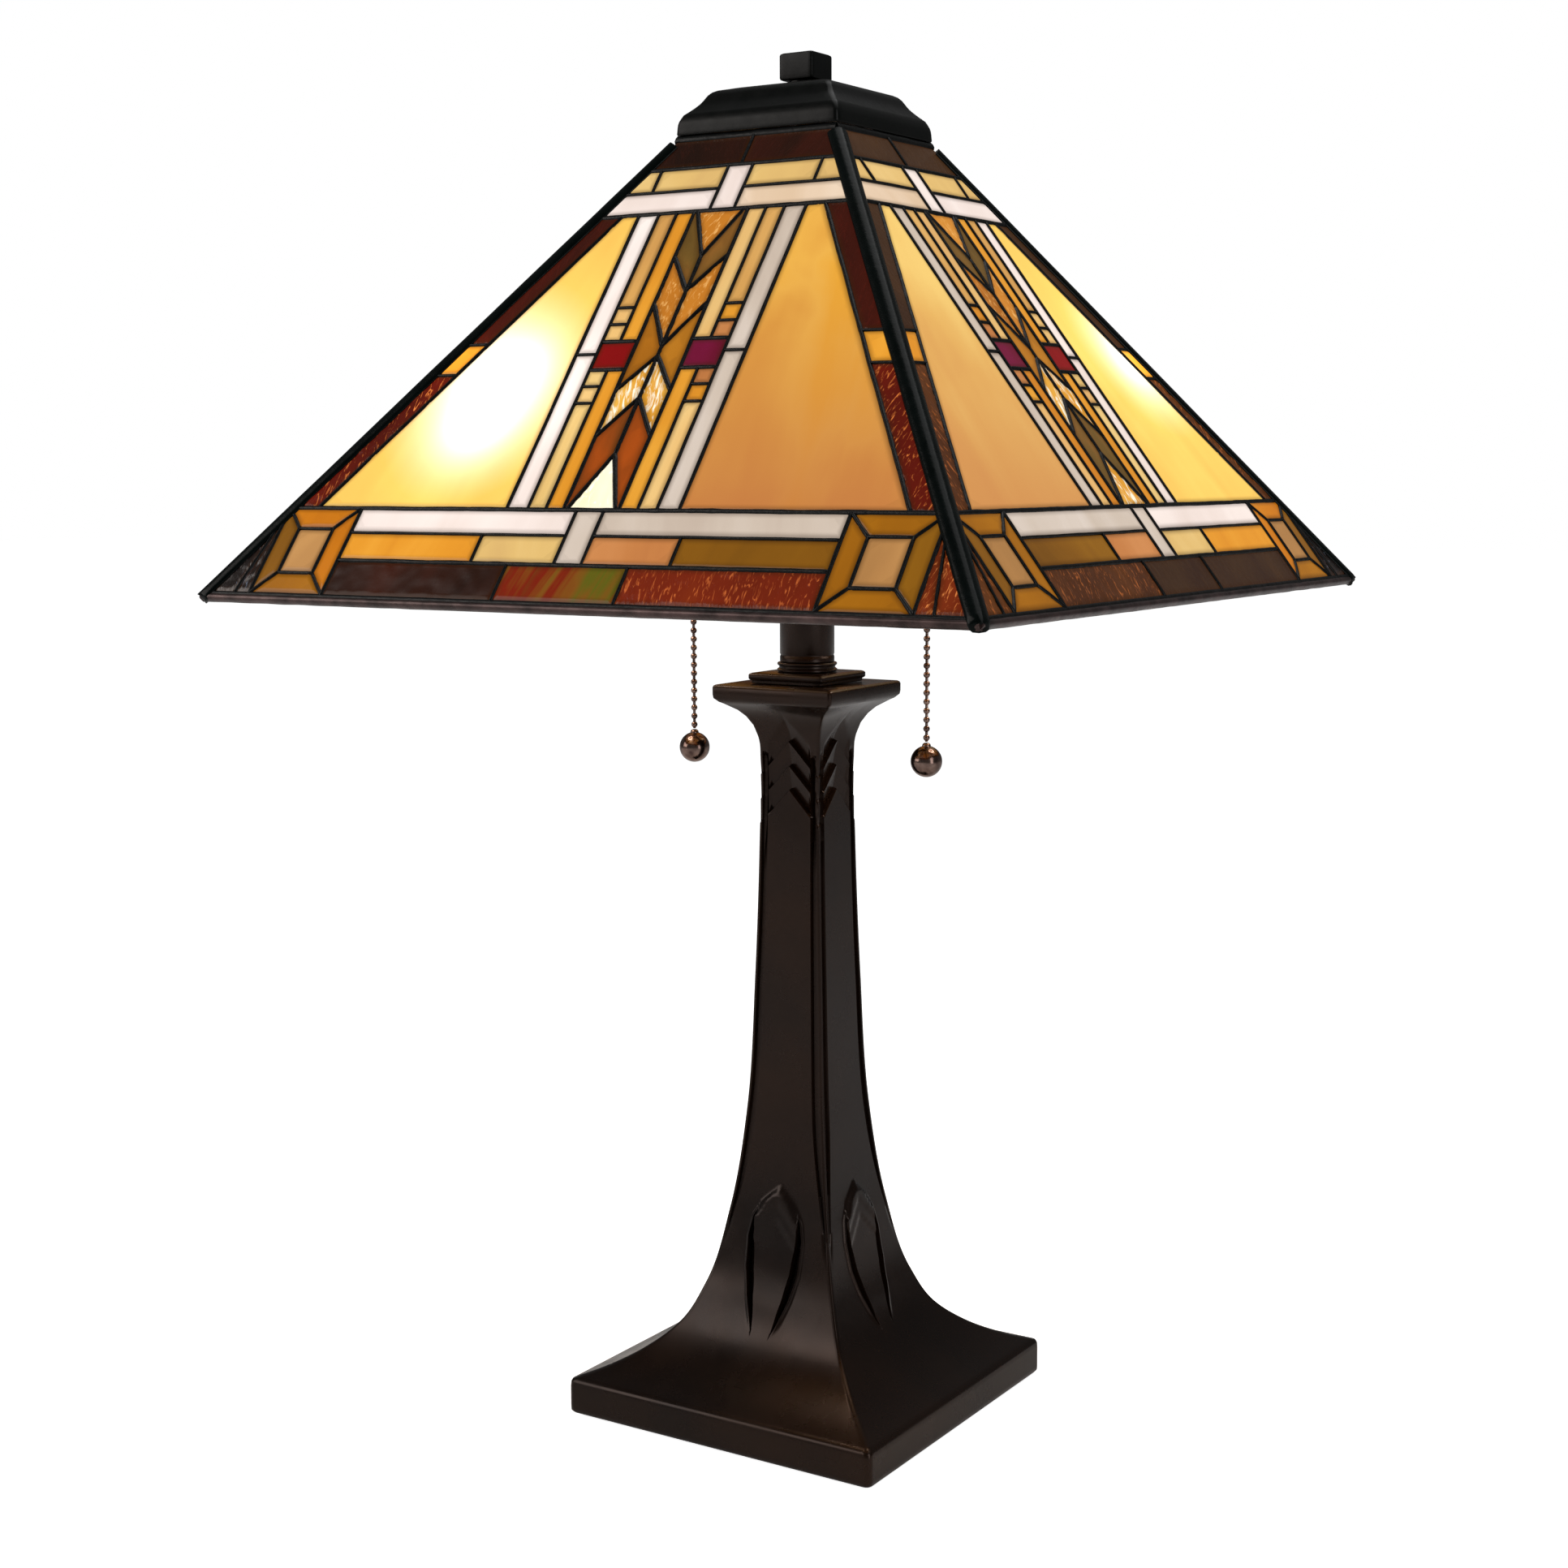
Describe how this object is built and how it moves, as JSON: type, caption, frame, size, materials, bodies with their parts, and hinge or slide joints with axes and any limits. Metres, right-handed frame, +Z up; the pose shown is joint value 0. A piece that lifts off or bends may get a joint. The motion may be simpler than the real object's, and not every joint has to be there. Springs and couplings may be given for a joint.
{
  "type": "stained glass table lamp",
  "caption": "Square table lamp: pyramid shade of leaded art glass on a slender cast column with flared foot, pull-chain sockets inside and a square finial.",
  "frame": {"origin": "centre of the square foot, on the surface that the lamp stands on", "axes": "+Z up along the column and the shade's axis; X and Y square to the sides of the foot and of the shade"},
  "size_m": [0.408, 0.408, 0.6608],
  "materials": {
    "cast_bronze": "dark bronze brown painted casting, semi-gloss, worn lighter on the edges",
    "dark_patina": "near-black patinated metal with a faint green cast, semi-gloss",
    "solder": "near-black patinated solder seams over lead and copper foil, glossy and slightly lumpy",
    "art_glass": "pieces of streaky and textured art glass in amber, honey, cream, white, brown and red",
    "frosted_glass": "inside-frosted bulb glass",
    "brass_fitting": "satin brass",
    "chain_bronze": "polished dark bronze",
    "steel_fitting": "zinc-plated steel",
    "cast_iron_weight": "rough cast iron",
    "felt": "dark green felt",
    "black_rubber": "matt black",
    "porcelain": "white porcelain"
  },
  "bodies": {
    "base": {"base_casting": "cast_bronze", "base_weight": "cast_iron_weight", "cluster_body": "brass_fitting", "cluster_cover": "brass_fitting", "cord_bushing": "black_rubber", "felt_pad": "felt", "foot_cover": "steel_fitting", "lamp_pipe": "steel_fitting", "neck_collar": "cast_bronze", "neck_tube": "cast_bronze", "pipe_nut": "steel_fitting", "pipe_washer": "steel_fitting", "riser_pipe": "steel_fitting", "seat_nut": "brass_fitting", "seat_washer": "brass_fitting", "socket_arm_left": "brass_fitting", "socket_arm_right": "brass_fitting", "socket_cap_left": "brass_fitting", "socket_cap_right": "brass_fitting", "socket_core_left": "porcelain", "socket_core_right": "porcelain", "socket_shell_left": "brass_fitting", "socket_shell_right": "brass_fitting", "step_plate": "cast_bronze", "switch_bell_left": "brass_fitting", "switch_bell_right": "brass_fitting"},
    "shade": {"cap": "dark_patina", "glass_panel_back": "art_glass", "glass_panel_front": "art_glass", "glass_panel_left": "art_glass", "glass_panel_right": "art_glass", "hip_came_back": "solder", "hip_came_front": "solder", "hip_came_left": "solder", "hip_came_right": "solder", "rim_came_back": "solder", "rim_came_front": "solder", "rim_came_left": "solder", "rim_came_right": "solder", "shade_spider": "brass_fitting", "top_came_back": "solder", "top_came_front": "solder", "top_came_left": "solder", "top_came_right": "solder"},
    "finial_washer": {"finial_washer": "brass_fitting"},
    "finial": {"finial": "dark_patina"},
    "bulb_right": {"bulb_base_right": "brass_fitting", "bulb_glass_right": "frosted_glass"},
    "chain_top_right": {"chain_upper_right": "chain_bronze"},
    "chain_link_right": {"chain_middle_right": "chain_bronze"},
    "chain_pull_right": {"chain_lower_right": "chain_bronze", "ball_pull_right": "chain_bronze"},
    "bulb_left": {"bulb_base_left": "brass_fitting", "bulb_glass_left": "frosted_glass"},
    "chain_top_left": {"chain_upper_left": "chain_bronze"},
    "chain_link_left": {"chain_middle_left": "chain_bronze"},
    "chain_pull_left": {"chain_lower_left": "chain_bronze", "ball_pull_left": "chain_bronze"}
  },
  "joints": [
    {"name": "shade_turn", "type": "hinge", "parent": "base", "child": "shade", "pos_m": [0, 0, 0.612], "axis": [0, 0, 1], "continuous": true},
    {"name": "finial_lift", "type": "slide", "parent": "base", "child": "finial_washer", "axis": [0, 0, 1], "range_m": [0, 0.0058]},
    {"name": "finial_turn", "type": "hinge", "parent": "finial_washer", "child": "finial", "pos_m": [0, 0, 0.65], "axis": [0, 0, 1], "range_deg": [0, 2160]},
    {"name": "bulb_right_turn", "type": "hinge", "parent": "base", "child": "bulb_right", "pos_m": [0.06029, 0.02685, 0.449], "axis": [0.9135, 0.4067, 0], "range_deg": [0, 720]},
    {"name": "chain_right_pull", "type": "slide", "parent": "base", "child": "chain_top_right", "axis": [0, 0, -1], "range_m": [0, 0.01], "stiffness_N_per_m": 600, "springref_m": -0.002},
    {"name": "chain_right_swing_along_y", "type": "hinge", "parent": "chain_top_right", "child": "chain_link_right", "pos_m": [0.06472, 0.00364, 0.4363], "axis": [1, 0, 0], "range_deg": [-30, 30]},
    {"name": "chain_right_swing_along_x", "type": "hinge", "parent": "chain_link_right", "child": "chain_pull_right", "pos_m": [0.06472, 0.00364, 0.4277], "axis": [0, -1, 0], "range_deg": [-15, 30]},
    {"name": "bulb_left_turn", "type": "hinge", "parent": "base", "child": "bulb_left", "pos_m": [-0.06029, -0.02685, 0.449], "axis": [-0.9135, -0.4067, 0], "range_deg": [0, 720]},
    {"name": "chain_left_pull", "type": "slide", "parent": "base", "child": "chain_top_left", "axis": [0, 0, -1], "range_m": [0, 0.01], "stiffness_N_per_m": 600, "springref_m": -0.002},
    {"name": "chain_left_swing_along_y", "type": "hinge", "parent": "chain_top_left", "child": "chain_link_left", "pos_m": [-0.06472, -0.00364, 0.4363], "axis": [1, 0, 0], "range_deg": [-30, 30]},
    {"name": "chain_left_swing_along_x", "type": "hinge", "parent": "chain_link_left", "child": "chain_pull_left", "pos_m": [-0.06472, -0.00364, 0.4277], "axis": [0, 1, 0], "range_deg": [-15, 30]}
  ],
  "couplings": [
    {"joint": "finial_lift", "follows": "finial_turn", "m_per_rad": 0.00014972}
  ]
}
